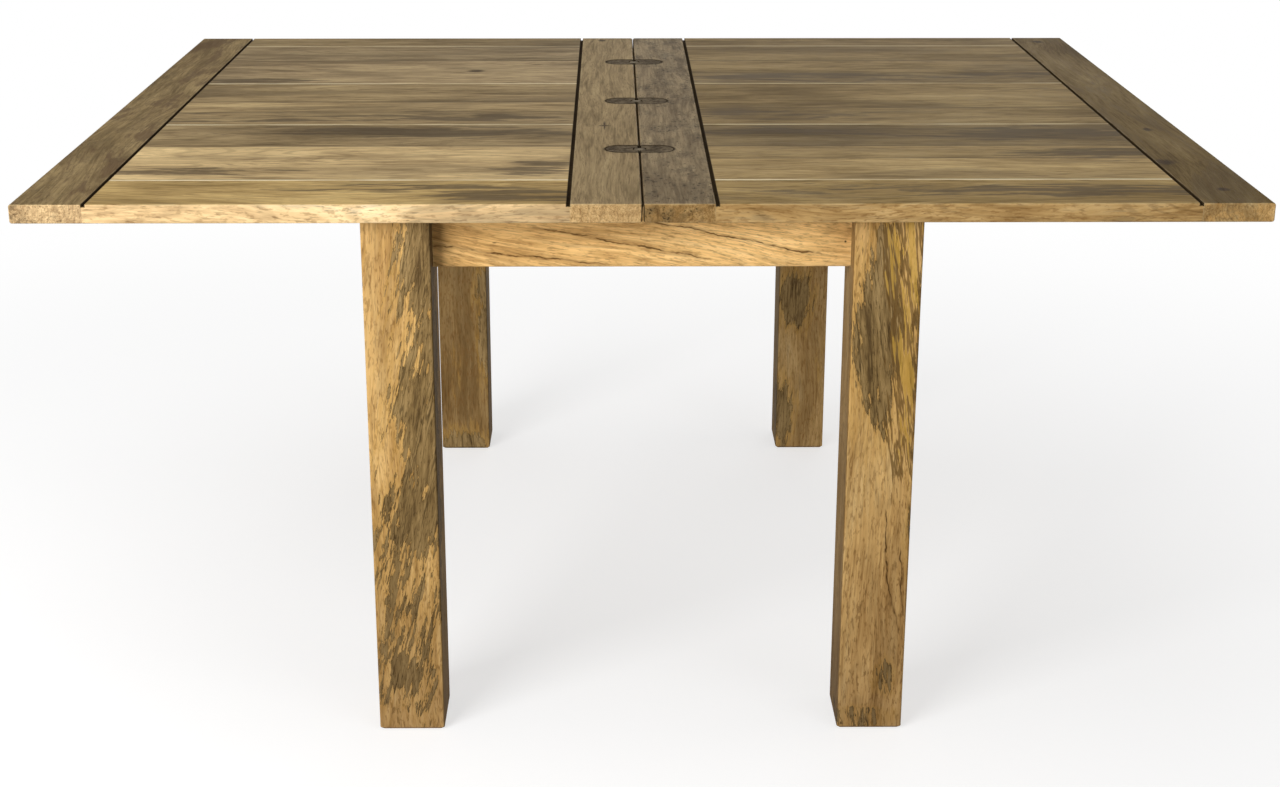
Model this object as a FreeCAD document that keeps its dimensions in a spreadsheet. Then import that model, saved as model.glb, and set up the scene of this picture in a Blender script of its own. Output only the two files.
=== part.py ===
import FreeCAD, Part
import os
import Sketcher

Vector = FreeCAD.Vector
os.makedirs("parts", exist_ok=True)
doc = FreeCAD.newDocument("butterfly_extension_table")
sheet = doc.addObject("Spreadsheet::Sheet", "sizes")

# Driving dimensions in millimetres
driving_sizes = {
    # Folding top
    "table_height": 770,
    "leaf_width": 799.5,
    "leaf_depth": 1200,
    "leaf_thickness": 25,
    "leaf_gap": 1,
    "stile_width": 92,
    "front_rail_width": 122,
    "front_field_width": 337,
    "middle_field_width": 310,
    "back_rail_width": 85,
    "groove_width": 4,
    "groove_depth": 4,
    "tongue_thickness": 7,
    "tongue_length": 12,
    "tongue_clearance": 0.1,
    "tongue_stop": 20,
    "edge_round": 1.5,
    "side_round": 3.4,
    "seam_bevel": 0.8,
    # Frame
    "side_overhang": 36,
    "end_overhang": 40,
    "leg_width": 90,
    "leg_round": 3,
    "foot_bevel": 4,
    "apron_height": 78,
    "apron_thickness": 25,
    "apron_setback": 30,
    "apron_bevel": 1.5,
    "pad_width": 60,
    "pad_thickness": 1,
    # Guide rails and slide battens
    "rail_inset": 340,
    "rail_width": 32,
    "rail_height": 50,
    "rail_housing": 8,
    "batten_width": 40,
    "batten_height": 34,
    "slide_tongue_drop": 15,
    "slide_tongue_height": 12,
    "slide_tongue_length": 9,
    "slide_clearance": 0.4,
    "stop_gap": 0.25,
    "batten_screw_inset": 30,
    "batten_screw_bite": 12,
    "batten_screw_radius": 2,
    "batten_screw_head": 4,
    # Corner blocks and their fastenings
    "leg_flat": 24,
    "block_height": 60,
    "block_thickness": 30,
    "block_drop": 8,
    "bolt_radius": 4,
    "bolt_pitch": 32,
    "bolt_bite": 50,
    "bolt_end": 14,
    "bolt_tip": 6,
    "bolt_hole_clearance": 0.5,
    "washer_radius": 9,
    "washer_thickness": 1.6,
    "nut_radius": 7.5,
    "nut_height": 6.5,
    "block_screw_radius": 2,
    "block_screw_head": 4,
    "block_screw_head_height": 3,
    "block_screw_bite": 16,
    "block_screw_pitch": 36,
    "fastener_clearance": 0.05,
    # Link hinges
    "hinge_pitch": 330,
    "hinge_shift": 32,
    "hinge_plate_length": 47,
    "hinge_plate_width": 42,
    "hinge_plate_thickness": 3,
    "hinge_sink": 0.2,
    "hinge_setback": 2.2,
    "mortise_clearance": 0.2,
    "pin_depth": 4.4,
    "pin_radius": 2,
    "pin_length": 25,
    "pin_clearance": 0.04,
    "fold_gap": 1.2,
    "knuckle_radius": 3.8,
    "knuckle_width": 26,
    "knuckle_back": 2.5,
    "link_radius": 4,
    "link_width": 12,
    "link_clearance": 0.3,
    "hinge_screw_radius": 1.75,
    "hinge_screw_head": 3.6,
    "hinge_screw_length": 17,
    "hinge_screw_tip": 4,
    "hinge_screw_near": 20,
    "hinge_screw_far": 35,
    "hinge_screw_spread": 12,
}
for row, (alias, number) in enumerate(driving_sizes.items(), start=1):
    sheet.set(f"A{row}", alias)
    sheet.set(f"B{row}", str(number))
    sheet.setAlias(f"B{row}", alias)
doc.recompute()

# Places that several pieces share, as expressions on the driving dimensions
underside = "(sizes.table_height - sizes.leaf_thickness)"
frame_top = f"({underside} - sizes.pad_thickness)"
half_gap = "(sizes.leaf_gap / 2)"
half_depth = "(sizes.leaf_depth / 2)"
frame_width = "(sizes.leaf_width - 2 * sizes.side_overhang)"
frame_depth = "(sizes.leaf_depth - 2 * sizes.end_overhang)"
leaf_centre = f"({half_gap} + sizes.leaf_width / 2)"
field_length = "(sizes.leaf_width - 2 * sizes.stile_width)"
front_line = "(sizes.front_rail_width - sizes.leaf_depth / 2)"
front_field_line = f"({front_line} + sizes.front_field_width)"
middle_field_line = f"({front_field_line} + sizes.middle_field_width)"
back_line = "(sizes.leaf_depth / 2 - sizes.back_rail_width)"
slide_travel = "((sizes.leaf_width + sizes.leaf_gap) / 2)"
inner_x = f"({frame_width} / 2 - sizes.apron_setback - sizes.apron_thickness)"
inner_y = f"({frame_depth} / 2 - sizes.apron_setback - sizes.apron_thickness)"
leg_x = f"(({frame_width} - sizes.leg_width) / 2)"
leg_y = f"(({frame_depth} - sizes.leg_width) / 2)"
batten_length = f"(2 * {inner_x} - {slide_travel} - 2 * sizes.stop_gap)"
batten_end = f"({inner_x} - sizes.stop_gap)"
rail_inside = f"({frame_depth} / 2 - sizes.rail_inset)"
batten_face = f"({rail_inside} - sizes.slide_clearance)"
tongue_bottom = "((sizes.leaf_thickness - sizes.tongue_thickness) / 2)"
tongue_top = "((sizes.leaf_thickness + sizes.tongue_thickness) / 2)"
pin_offset = "(sizes.pin_depth + sizes.fold_gap / 2)"
pin_level = "(sizes.table_height - sizes.pin_depth)"
plate_top = "(sizes.table_height - sizes.hinge_sink)"
plate_bottom = f"({plate_top} - sizes.hinge_plate_thickness)"
plate_end = f"({half_gap} + sizes.hinge_plate_length)"
link_slot_end = f"({pin_offset} + sizes.link_radius + sizes.link_clearance)"
knuckle_end = f"({link_slot_end} + sizes.knuckle_back)"
block_top = f"({frame_top} - sizes.block_drop)"
block_middle = f"({block_top} - sizes.block_height / 2)"
corner_sum = f"(({frame_width} + {frame_depth}) / 2 - 2 * sizes.leg_width + sizes.leg_flat)"
block_step = "(sizes.block_thickness * sqrt(2))"
flat_x = f"({frame_width} / 2 - sizes.leg_width + sizes.leg_flat / 2)"
flat_y = f"({frame_depth} / 2 - sizes.leg_width + sizes.leg_flat / 2)"

subparts = []


def worth(expression):
    """Value of an expression on the driving dimensions."""
    return float(sheet.evalExpression(str(expression)))


def keep(piece, label):
    """Marks an object as a finished piece of the table."""
    piece.Label = label
    subparts.append(piece)
    return piece


def place(piece, x, y, z):
    """Ties an object's position to three expressions."""
    for axis, expression in (("x", x), ("y", y), ("z", z)):
        piece.setExpression(f"Placement.Base.{axis}", expression)


def new_sketch(body, role, name, lift="0"):
    """Sketch on one of the body's own base planes, lifted along its normal."""
    sketch = body.newObject("Sketcher::SketchObject", name)
    base = [plane for plane in body.Origin.OriginFeatures if plane.Role == role][0]
    sketch.AttachmentSupport = (base, [""])
    sketch.MapMode = "FlatFace"
    sketch.setExpression("AttachmentOffset.Base.z", lift)
    return sketch


def outline(sketch, corners):
    """Adds a closed outline, each corner dimensioned from the sketch's origin."""
    points = [Vector(worth(x), worth(y), 0) for x, y in corners]
    first = sketch.GeometryCount
    count = len(points)
    for index in range(count):
        sketch.addGeometry(Part.LineSegment(points[index], points[(index + 1) % count]), False)
    for index in range(count):
        following = first + (index + 1) % count
        sketch.addConstraint(Sketcher.Constraint("Coincident", first + index, 2, following, 1))
    for index, (x, y) in enumerate(corners):
        for kind, expression in (("DistanceX", x), ("DistanceY", y)):
            value = worth(expression)
            added = sketch.addConstraint(Sketcher.Constraint(kind, -1, 1, first + index, 1, value))
            sketch.setExpression(f"Constraints[{added}]", expression)


def rectangle(sketch, left, right, low, high):
    """Adds a rectangle between two pairs of sizes."""
    outline(sketch, [(left, low), (right, low), (right, high), (left, high)])


def pad(body, sketch, name, length):
    """Raises a sketch into a solid."""
    feature = body.newObject("PartDesign::Pad", name)
    feature.Profile = sketch
    feature.setExpression("Length", length)
    doc.recompute()
    return feature


def pocket(body, sketch, name, depth, reverse=False):
    """Sinks a sketch into the body."""
    feature = body.newObject("PartDesign::Pocket", name)
    feature.Profile = sketch
    feature.Reversed = reverse
    feature.setExpression("Length", depth)
    doc.recompute()
    return feature


def dress(body, kind, base, name, test, size_name):
    """Rounds or bevels those edges of a feature that pass a test on their bounding box."""
    edges = base.Shape.Edges
    chosen = [f"Edge{number}" for number, edge in enumerate(edges, start=1) if test(edge.BoundBox)]
    feature = body.newObject(f"PartDesign::{kind}", name)
    feature.Base = (base, chosen)
    feature.setExpression("Radius" if kind == "Fillet" else "Size", f"sizes.{size_name}")
    doc.recompute()
    return feature


def close(first, second):
    """Whether two lengths agree."""
    return abs(first - second) < 0.0001


def box(name, x, y, z):
    """Box between three pairs of expressions."""
    piece = doc.addObject("Part::Box", name)
    for side, (start, end) in (("Length", x), ("Width", y), ("Height", z)):
        piece.setExpression(side, f"({end}) - ({start})")
    place(piece, x[0], y[0], z[0])
    return piece


def stand(piece, start, axis):
    """Stands a round piece at a start point, along an axis."""
    piece.Placement = FreeCAD.Placement(Vector(), FreeCAD.Rotation(Vector(0, 0, 1), axis))
    place(piece, *start)


def cylinder(name, radius, length, start, axis):
    """Cylinder from a start point along an axis."""
    piece = doc.addObject("Part::Cylinder", name)
    piece.setExpression("Radius", radius)
    piece.setExpression("Height", length)
    stand(piece, start, axis)
    return piece


def cone(name, radius, end_radius, length, start, axis):
    """Cone or taper from a start point along an axis."""
    piece = doc.addObject("Part::Cone", name)
    piece.setExpression("Radius1", radius)
    piece.setExpression("Radius2", end_radius)
    piece.setExpression("Height", length)
    stand(piece, start, axis)
    return piece


def fuse(name, pieces):
    """One solid from several that meet."""
    joined = doc.addObject("Part::MultiFuse", name)
    joined.Shapes = pieces
    joined.Refine = True
    return joined


def group(name, pieces):
    """Separate solids kept together."""
    gathered = doc.addObject("Part::Compound", name)
    gathered.Links = pieces
    return gathered


def cut(name, base, tools):
    """Base with the tools' shapes taken out of it."""
    result = doc.addObject("Part::Cut", name)
    result.Base = base
    result.Tool = group(f"{name}_tools", tools)
    result.Refine = True
    return result


def mirror(name, source, normal):
    """Mirror image in a plane through the middle of the table."""
    image = doc.addObject("Part::Mirroring", name)
    image.Source = source
    image.Base = Vector(0, 0, 0)
    image.Normal = normal
    return image


def shifted(point, direction, distance):
    """Point moved along a level direction by a distance, as expressions."""
    return [f"{start} + ({distance}) * {part}" for start, part in zip(point, direction)]


along_x = Vector(1, 0, 0)
along_y = Vector(0, 1, 0)
along_z = Vector(0, 0, 1)
down = Vector(0, 0, -1)

# Right leaf boards: one section with a tongue and the rebate of a groove at each end
half_field = f"({field_length} / 2)"
shoulder = f"({half_field} - sizes.groove_width)"
tongue_tip = f"({half_field} + sizes.tongue_length)"
rebate_top = "(sizes.leaf_thickness - sizes.groove_depth)"
right_end = [
    (half_field, "0"),
    (half_field, tongue_bottom),
    (tongue_tip, tongue_bottom),
    (tongue_tip, tongue_top),
    (half_field, tongue_top),
    (half_field, rebate_top),
    (shoulder, rebate_top),
    (shoulder, "sizes.leaf_thickness"),
]
board_section = right_end + [(f"-{x}", z) for x, z in reversed(right_end)]


def board(name, back, width, front_edge=False, back_edge=False):
    """Board that runs from stile to stile, with its back edge at a given place."""
    body = doc.addObject("PartDesign::Body", name)
    section = new_sketch(body, "XZ_Plane", f"{name}_section")
    outline(section, board_section)
    feature = pad(body, section, f"{name}_length", width)
    outer = []
    if front_edge:
        outer.append(-worth(width))
        span = (f"-{width}", f"sizes.tongue_stop - {width}")
    if back_edge:
        outer.append(0)
        span = ("-sizes.tongue_stop", "0")
    if outer:
        stop = new_sketch(body, "XY_Plane", f"{name}_tongue_stop", "sizes.leaf_thickness")
        rectangle(stop, half_field, tongue_tip, *span)
        rectangle(stop, f"-{tongue_tip}", f"-{half_field}", *span)
        feature = pocket(body, stop, f"{name}_short_tongue", "sizes.leaf_thickness")
    faces = (0, worth("sizes.leaf_thickness"))

    def long_edge(bounds):
        on_face = any(close(bounds.ZMin, face) and close(bounds.ZMax, face) for face in faces)
        return on_face and close(bounds.YLength, 0)

    def at_outer(bounds):
        return any(close(bounds.YMin, place_y) for place_y in outer)

    feature = dress(body, "Chamfer", feature, f"{name}_seam",
                    lambda bounds: long_edge(bounds) and not at_outer(bounds), "seam_bevel")
    if outer:
        dress(body, "Fillet", feature, f"{name}_edge",
              lambda bounds: long_edge(bounds) and at_outer(bounds), "edge_round")
    place(body, leaf_centre, back, underside)
    return body


right_boards = {
    "front_rail": board("front_rail_blank", front_line, "sizes.front_rail_width", front_edge=True),
    "field_front": board("field_front_blank", front_field_line, "sizes.front_field_width"),
    "field_middle": board("field_middle_blank", middle_field_line, "sizes.middle_field_width"),
    "field_back": board("field_back_blank", back_line, f"({back_line} - {middle_field_line})"),
    "back_rail": board("back_rail_blank", half_depth, "sizes.back_rail_width", back_edge=True),
}


def stile(name, left, groove_on_right):
    """Board across the ends of the others, with a stopped groove for their tongues."""
    body = doc.addObject("PartDesign::Body", name)
    section = new_sketch(body, "XZ_Plane", f"{name}_section")
    outer, lift = ("0", "sizes.stile_width") if groove_on_right else ("sizes.stile_width", "0")
    inward = "sizes.stile_width - sizes.seam_bevel" if groove_on_right else "sizes.seam_bevel"
    outline(section, [
        (outer, "0"),
        (inward, "0"),
        (lift, "sizes.seam_bevel"),
        (lift, "sizes.leaf_thickness - sizes.seam_bevel"),
        (inward, "sizes.leaf_thickness"),
        (outer, "sizes.leaf_thickness"),
    ])
    feature = pad(body, section, f"{name}_length", "sizes.leaf_depth")
    faces = (0, worth("sizes.leaf_thickness"))

    def on_face(bounds):
        return any(close(bounds.ZMin, face) and close(bounds.ZMax, face) for face in faces)

    def outer_edge(bounds):
        return on_face(bounds) and close(bounds.XLength, 0) and close(bounds.XMin, worth(outer))

    def end_edge(bounds):
        return on_face(bounds) and close(bounds.YLength, 0)

    feature = dress(body, "Fillet", feature, f"{name}_side", outer_edge, "side_round")
    dress(body, "Fillet", feature, f"{name}_ends", end_edge, "edge_round")
    groove = new_sketch(body, "YZ_Plane", f"{name}_groove", lift)
    rectangle(groove, "sizes.tongue_stop - sizes.leaf_depth", "-sizes.tongue_stop",
              f"{tongue_bottom} - sizes.tongue_clearance", f"{tongue_top} + sizes.tongue_clearance")
    pocket(body, groove, f"{name}_slot", "sizes.tongue_length + sizes.tongue_clearance",
           reverse=not groove_on_right)
    place(body, left, half_depth, underside)
    return body


hinge_stile_blank = stile("hinge_stile_blank", half_gap, True)
outer_stile = stile("outer_stile_blank", f"{half_gap} + sizes.leaf_width - sizes.stile_width", False)

# Link hinges, drawn on the right leaf and mirrored to the left one
hinge_places = {
    "front": "(sizes.hinge_shift - sizes.hinge_pitch)",
    "middle": "(sizes.hinge_shift)",
    "back": "(sizes.hinge_shift + sizes.hinge_pitch)",
}


def strap(name, start, middle, grow, low, high):
    """Flat strap with one round end, at a hinge's place."""
    half = f"(sizes.hinge_plate_width / 2 + {grow})"
    round_centre = f"({plate_end} - sizes.hinge_plate_width / 2)"
    flat = box(f"{name}_flat", (start, round_centre), (f"{middle} - {half}", f"{middle} + {half}"),
               (low, high))
    end = cylinder(f"{name}_end", half, f"{high} - {low}", (round_centre, middle, low), along_z)
    return fuse(name, [flat, end])


def hinge_screw_places(middle):
    """Places of the three screws of one hinge plate."""
    near = f"{half_gap} + sizes.hinge_screw_near"
    return [
        (near, f"{middle} - sizes.hinge_screw_spread"),
        (near, f"{middle} + sizes.hinge_screw_spread"),
        (f"{half_gap} + sizes.hinge_screw_far", middle),
    ]


def countersunk(name, grow, radius, head, length, tip, start, axis_sign):
    """Countersunk screw, or the hole for one when it is grown by a clearance."""
    x, y, z = start
    axis = along_z if axis_sign > 0 else down
    head_height = f"({head} - {radius})"
    shank_end = f"({length} - {tip})"
    pieces = [
        cone(f"{name}_head", f"{head} + {grow}", f"{radius} + {grow}", head_height, start, axis),
        cylinder(f"{name}_shank", f"{radius} + {grow}", f"{shank_end} - {head_height}",
                 (x, y, f"{z} + {axis_sign} * {head_height}"), axis),
        cone(f"{name}_tip", f"{radius} + {grow}", f"{radius} / 4 + {grow}", tip,
             (x, y, f"{z} + {axis_sign} * {shank_end}"), axis),
    ]
    return fuse(name, pieces)


def hinge_screw(name, grow, x, y):
    """One hinge screw, with its head in the plate's top face."""
    return countersunk(name, grow, "sizes.hinge_screw_radius", "sizes.hinge_screw_head",
                       "sizes.hinge_screw_length", "sizes.hinge_screw_tip", (x, y, plate_top), -1)


def cross_pin(name, grow, middle, length):
    """Pin along the table's depth at a hinge, or the hole for one."""
    start = (pin_offset, f"{middle} - ({length}) / 2", pin_level)
    return cylinder(name, f"sizes.pin_radius + {grow}", length, start, along_y)


def hinge_plate(name, middle):
    """Strap with two knuckles beside the link's slot, bored for the pin and the screws."""
    start = f"{half_gap} + sizes.hinge_setback"
    plate = strap(f"{name}_strap", start, middle, "0", plate_bottom, plate_top)
    knuckle_low = f"({pin_level} - sizes.knuckle_radius)"
    width = (f"{middle} - sizes.knuckle_width / 2", f"{middle} + sizes.knuckle_width / 2")
    barrel = cylinder(f"{name}_barrel", "sizes.knuckle_radius", "sizes.knuckle_width",
                      (pin_offset, width[0], pin_level), along_y)
    heel = box(f"{name}_heel", (pin_offset, knuckle_end), width, (knuckle_low, plate_bottom))
    slot_half = "(sizes.link_width / 2 + sizes.link_clearance)"
    slot = box(f"{name}_slot", ("0", link_slot_end),
               (f"{middle} - {slot_half}", f"{middle} + {slot_half}"),
               (f"{knuckle_low} - sizes.link_radius", "sizes.table_height + sizes.pin_depth"))
    bore = cross_pin(f"{name}_bore", "sizes.fastener_clearance", middle, "2 * sizes.knuckle_width")
    holes = [hinge_screw(f"{name}_hole_{number}", "sizes.fastener_clearance", x, y)
             for number, (x, y) in enumerate(hinge_screw_places(middle))]
    solid = fuse(f"{name}_solid", [plate, barrel, heel])
    return cut(name, solid, [slot, bore] + holes)


def hinge_link(name, middle):
    """Short bar with round ends, bored for a pin at each end."""
    width = (f"{middle} - sizes.link_width / 2", f"{middle} + sizes.link_width / 2")
    levels = (f"{pin_level} - sizes.link_radius", f"{pin_level} + sizes.link_radius")
    pieces = [box(f"{name}_bar", (f"-{pin_offset}", pin_offset), width, levels)]
    bores = []
    for side, x in (("left", f"-{pin_offset}"), ("right", pin_offset)):
        start = (x, width[0], pin_level)
        pieces.append(cylinder(f"{name}_{side}", "sizes.link_radius", "sizes.link_width", start, along_y))
        bores.append(cylinder(f"{name}_{side}_bore", "sizes.pin_radius + sizes.pin_clearance",
                              "sizes.link_width", start, along_y))
    return cut(name, fuse(f"{name}_blank", pieces), bores)


mortises = []
pins = []
hinge_screws = []
for place_name, middle in hinge_places.items():
    plate = hinge_plate(f"plate_{place_name}", middle)
    keep(plate, f"right_hinge_plate_{place_name}")
    keep(mirror(f"left_plate_{place_name}", plate, along_x), f"left_hinge_plate_{place_name}")
    keep(hinge_link(f"link_{place_name}", middle), f"hinge_link_{place_name}")
    pins.append(cross_pin(f"pin_{place_name}", "0", middle, "sizes.pin_length"))
    mortises.append(strap(f"mortise_{place_name}", "0", middle, "sizes.mortise_clearance",
                          plate_bottom, "sizes.table_height + sizes.pin_depth"))
    pocket_half = "(sizes.knuckle_width / 2 + sizes.mortise_clearance)"
    pocket_low = f"{pin_level} - sizes.link_radius - sizes.mortise_clearance"
    mortises.append(box(f"knuckle_pocket_{place_name}", ("0", f"{knuckle_end} + sizes.mortise_clearance"),
                        (f"{middle} - {pocket_half}", f"{middle} + {pocket_half}"),
                        (pocket_low, "sizes.table_height + sizes.pin_depth")))
    for number, (x, y) in enumerate(hinge_screw_places(middle)):
        hinge_screws.append(hinge_screw(f"hinge_screw_{place_name}_{number}", "0", x, y))
        mortises.append(hinge_screw(f"pilot_{place_name}_{number}", "sizes.fastener_clearance", x, y))
right_pins = keep(group("pins", pins), "right_hinge_pins")
keep(mirror("left_pins", right_pins, along_x), "left_hinge_pins")
right_hinge_screws = keep(group("hinge_screws", hinge_screws), "right_hinge_screws")
keep(mirror("left_screws", right_hinge_screws, along_x), "left_hinge_screws")
hinge_stile = cut("hinge_stile", hinge_stile_blank, mortises)
keep(mirror("left_stile", hinge_stile, along_x), "left_hinge_stile")
keep(outer_stile, "right_outer_stile")
keep(mirror("left_outer", outer_stile, along_x), "left_outer_stile")

# Slide battens under the right leaf
tongue_high = f"({underside} - sizes.slide_tongue_drop)"
tongue_low = f"({tongue_high} - sizes.slide_tongue_height)"
batten_low = f"({underside} - sizes.batten_height)"
batten_blank = doc.addObject("PartDesign::Body", "batten_blank")
batten_section = new_sketch(batten_blank, "YZ_Plane", "batten_section")
tongue_reach = f"{batten_face} + sizes.slide_tongue_length"
outline(batten_section, [
    (f"{batten_face} - sizes.batten_width", batten_low),
    (batten_face, batten_low),
    (batten_face, tongue_low),
    (tongue_reach, tongue_low),
    (tongue_reach, tongue_high),
    (batten_face, tongue_high),
    (batten_face, underside),
    (f"{batten_face} - sizes.batten_width", underside),
])
pad(batten_blank, batten_section, "batten_length", batten_length)
place(batten_blank, f"{batten_end} - {batten_length}", "0", "0")


def batten_screw(name, grow, x):
    """Screw up through a batten into the leaf."""
    length = "(sizes.batten_height + sizes.batten_screw_bite)"
    start = (x, f"{batten_face} - sizes.batten_width / 2", batten_low)
    return countersunk(name, grow, "sizes.batten_screw_radius", "sizes.batten_screw_head", length,
                       "sizes.batten_screw_bite / 2", start, 1)


batten_screw_places = {
    "left": f"{batten_end} - {batten_length} + sizes.batten_screw_inset",
    "middle": f"{batten_end} - {batten_length} / 2",
    "right": f"{batten_end} - sizes.batten_screw_inset",
}
screws = []
holes = []
for place_name, x in batten_screw_places.items():
    screws.append(batten_screw(f"batten_screw_{place_name}", "0", x))
    holes.append(batten_screw(f"batten_hole_{place_name}", "sizes.fastener_clearance", x))
back_screws = group("back_batten_screws", screws)
back_holes = group("back_batten_holes", holes)
front_holes = mirror("front_batten_holes", back_holes, along_y)
keep(group("all_batten_screws", [back_screws, mirror("front_batten_screws", back_screws, along_y)]),
     "slide_batten_screws")
back_batten = keep(cut("back_batten", batten_blank, [back_holes]), "slide_batten_back")
keep(mirror("front_batten", back_batten, along_y), "slide_batten_front")
keep(cut("right_stile", hinge_stile, [back_holes, front_holes]), "right_hinge_stile")
for name, blank in right_boards.items():
    keep(mirror(f"left_{name}_mirror", blank, along_x), f"left_{name}")
    keep(cut(f"right_{name}_drilled", blank, [back_holes, front_holes]), f"right_{name}")

# One corner of the frame: leg, block, bolts and screws at the back on the right
leg_blank = doc.addObject("PartDesign::Body", "leg_blank")
plan = new_sketch(leg_blank, "XY_Plane", "leg_plan")
rectangle(plan, f"{leg_x} - sizes.leg_width / 2", f"{leg_x} + sizes.leg_width / 2",
          f"{leg_y} - sizes.leg_width / 2", f"{leg_y} + sizes.leg_width / 2")
leg_feature = pad(leg_blank, plan, "leg_length", frame_top)
leg_feature = dress(leg_blank, "Chamfer", leg_feature, "leg_foot",
                    lambda bounds: close(bounds.ZMax, 0), "foot_bevel")
leg_feature = dress(leg_blank, "Fillet", leg_feature, "leg_corners",
                    lambda bounds: not close(bounds.ZLength, 0), "leg_round")
seat = new_sketch(leg_blank, "XY_Plane", "leg_seat", frame_top)
leg_inside_x = f"({leg_x} - sizes.leg_width / 2)"
leg_inside_y = f"({leg_y} - sizes.leg_width / 2)"
seat_reach = "sizes.leg_round"
outline(seat, [
    (f"{leg_inside_x} - {seat_reach}", f"{leg_inside_y} - {seat_reach}"),
    (f"{leg_inside_x} + sizes.leg_flat + {seat_reach}", f"{leg_inside_y} - {seat_reach}"),
    (f"{leg_inside_x} - {seat_reach}", f"{leg_inside_y} + sizes.leg_flat + {seat_reach}"),
])
pocket(leg_blank, seat, "leg_flat_seat", "sizes.block_drop + sizes.block_height")

block_blank = doc.addObject("PartDesign::Body", "block_blank")
block_plan = new_sketch(block_blank, "XY_Plane", "block_plan", f"{block_top} - sizes.block_height")
outline(block_plan, [
    (inner_x, f"{corner_sum} - {block_step} - {inner_x}"),
    (inner_x, f"{corner_sum} - {inner_x}"),
    (f"{corner_sum} - {inner_y}", inner_y),
    (f"{corner_sum} - {block_step} - {inner_y}", inner_y),
])
pad(block_blank, block_plan, "block_length", "sizes.block_height")

diagonal = Vector(1, 1, 0)
diagonal_parts = ("sqrt(0.5)", "sqrt(0.5)", "0")
bolts = []
bolt_holes = []
clearance_holes = []
washers = []
nuts = []
for level_name, sign in (("low", "-"), ("high", "+")):
    flat_point = (flat_x, flat_y, f"{block_middle} {sign} sizes.bolt_pitch / 2")
    block_face = shifted(flat_point, diagonal_parts, "-sizes.block_thickness")
    bolt_start = shifted(flat_point, diagonal_parts, "-sizes.block_thickness - sizes.bolt_end")
    bolt_length = "(sizes.bolt_end + sizes.block_thickness + sizes.bolt_bite - sizes.bolt_tip)"
    tip_start = shifted(flat_point, diagonal_parts, "sizes.bolt_bite - sizes.bolt_tip")
    shank = cylinder(f"bolt_{level_name}_shank", "sizes.bolt_radius", bolt_length, bolt_start, diagonal)
    tip = cone(f"bolt_{level_name}_tip", "sizes.bolt_radius", "sizes.bolt_radius / 2", "sizes.bolt_tip",
               tip_start, diagonal)
    bolts.append(fuse(f"bolt_{level_name}", [shank, tip]))
    bolt_holes.append(cylinder(f"bolt_hole_{level_name}", "sizes.bolt_radius + sizes.fastener_clearance",
                               "sizes.block_thickness + sizes.bolt_bite", block_face, diagonal))
    loose_radius = "sizes.bolt_radius + sizes.bolt_hole_clearance"
    clearance_holes.append(cylinder(f"block_hole_{level_name}", loose_radius, "sizes.block_thickness",
                                    block_face, diagonal))
    washer_start = shifted(block_face, diagonal_parts, "-sizes.washer_thickness")
    disc = cylinder(f"washer_disc_{level_name}", "sizes.washer_radius", "sizes.washer_thickness",
                    washer_start, diagonal)
    disc_hole = cylinder(f"washer_hole_{level_name}", loose_radius, "sizes.washer_thickness",
                         washer_start, diagonal)
    washers.append(cut(f"washer_{level_name}", disc, [disc_hole]))
    nut_start = shifted(washer_start, diagonal_parts, "-sizes.nut_height")
    hexagon = doc.addObject("Part::Prism", f"nut_hexagon_{level_name}")
    hexagon.Polygon = 6
    hexagon.setExpression("Circumradius", "sizes.nut_radius")
    hexagon.setExpression("Height", "sizes.nut_height")
    stand(hexagon, nut_start, diagonal)
    thread = cylinder(f"nut_hole_{level_name}", "sizes.bolt_radius + sizes.fastener_clearance",
                      "sizes.nut_height", nut_start, diagonal)
    nuts.append(cut(f"nut_{level_name}", hexagon, [thread]))

block_half_step = f"({block_step} / 2)"
head_reach = f"({block_half_step} - sizes.block_screw_head)"


def block_screw(name, grow, sink, axis, line, face, level):
    """Screw from a block's open face into an apron, or the sunk hole for one."""
    def on_line(distance):
        reach = f"{face} + ({distance})"
        return (line, reach, level) if axis is along_y else (reach, line, level)

    head = cylinder(f"{name}_head", f"sizes.block_screw_head + {grow}",
                    f"sizes.block_screw_head_height + {sink}", on_line(f"-{head_reach} - {sink}"), axis)
    shank_length = f"{head_reach} - sizes.block_screw_head_height + sizes.block_screw_bite + {grow}"
    shank = cylinder(f"{name}_shank", f"sizes.block_screw_radius + {grow}", shank_length,
                     on_line(f"sizes.block_screw_head_height - {head_reach}"), axis)
    return fuse(name, [head, shank])


block_screws = []
screw_holes = []
for target, axis, face in (("back", along_y, inner_y), ("side", along_x, inner_x)):
    line = f"{corner_sum} - {face} - {block_half_step}"
    for level_name, sign in (("low", "-"), ("high", "+")):
        level = f"{block_middle} {sign} sizes.block_screw_pitch / 2"
        stem = f"{target}_{level_name}"
        block_screws.append(block_screw(f"block_screw_{stem}", "0", "0", axis, line, face, level))
        screw_holes.append(block_screw(f"screw_hole_{stem}", "sizes.fastener_clearance", block_half_step,
                                       axis, line, face, level))
corner_screw_holes = group("corner_screw_holes", screw_holes)

back_right_leg = cut("back_right_leg", leg_blank, [group("corner_bolt_holes", bolt_holes)])
back_right_block = cut("back_right_block", block_blank, clearance_holes + [corner_screw_holes])
corner_pad = box("corner_pad", (f"{leg_x} - sizes.pad_width / 2", f"{leg_x} + sizes.pad_width / 2"),
                 (f"{leg_y} - sizes.pad_width / 2", f"{leg_y} + sizes.pad_width / 2"), (frame_top, underside))


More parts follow.
